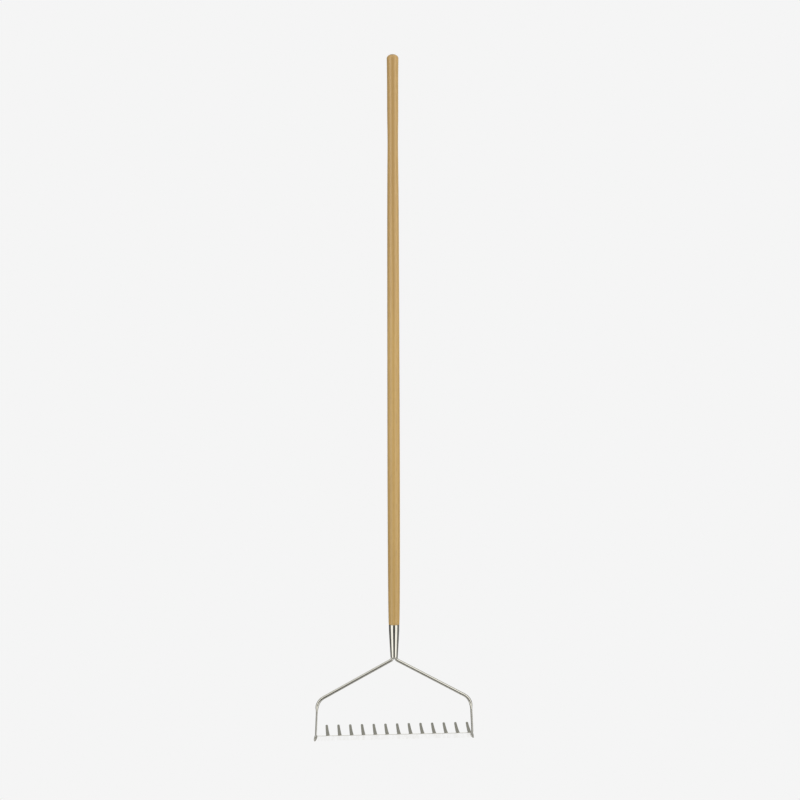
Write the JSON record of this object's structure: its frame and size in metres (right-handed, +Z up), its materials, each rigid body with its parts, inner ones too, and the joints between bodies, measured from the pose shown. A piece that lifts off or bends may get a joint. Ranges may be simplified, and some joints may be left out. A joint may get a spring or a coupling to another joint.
{
  "type": "bow rake",
  "caption": "Long-handled bow rake with a turned ash handle, a conical steel socket, a bow of bent steel rod and a flat head bar with short curved tines.",
  "frame": {"origin": "on the handle's axis at the rack clip, 1.2 m above the underside of the head", "axes": "+Z up along the handle, X along the head bar, +Y the way the tines point"},
  "size_m": [0.3988, 0.0796, 1.7],
  "materials": {
    "ash": "oiled and sanded ash, satin",
    "polished_steel": "mirror-polished stainless steel",
    "satin_steel": "satin stainless steel"
  },
  "bodies": {
    "root": {"handle": "ash", "socket": "polished_steel", "arm_left": "polished_steel", "arm_right": "polished_steel", "head_bar": "polished_steel", "socket_screw": "satin_steel", "tine_01": "satin_steel", "tine_02": "satin_steel", "tine_03": "satin_steel", "tine_04": "satin_steel", "tine_05": "satin_steel", "tine_06": "satin_steel", "tine_07": "satin_steel", "tine_08": "satin_steel", "tine_09": "satin_steel", "tine_10": "satin_steel", "tine_11": "satin_steel", "tine_12": "satin_steel", "tine_13": "satin_steel"}
  },
  "joints": []
}
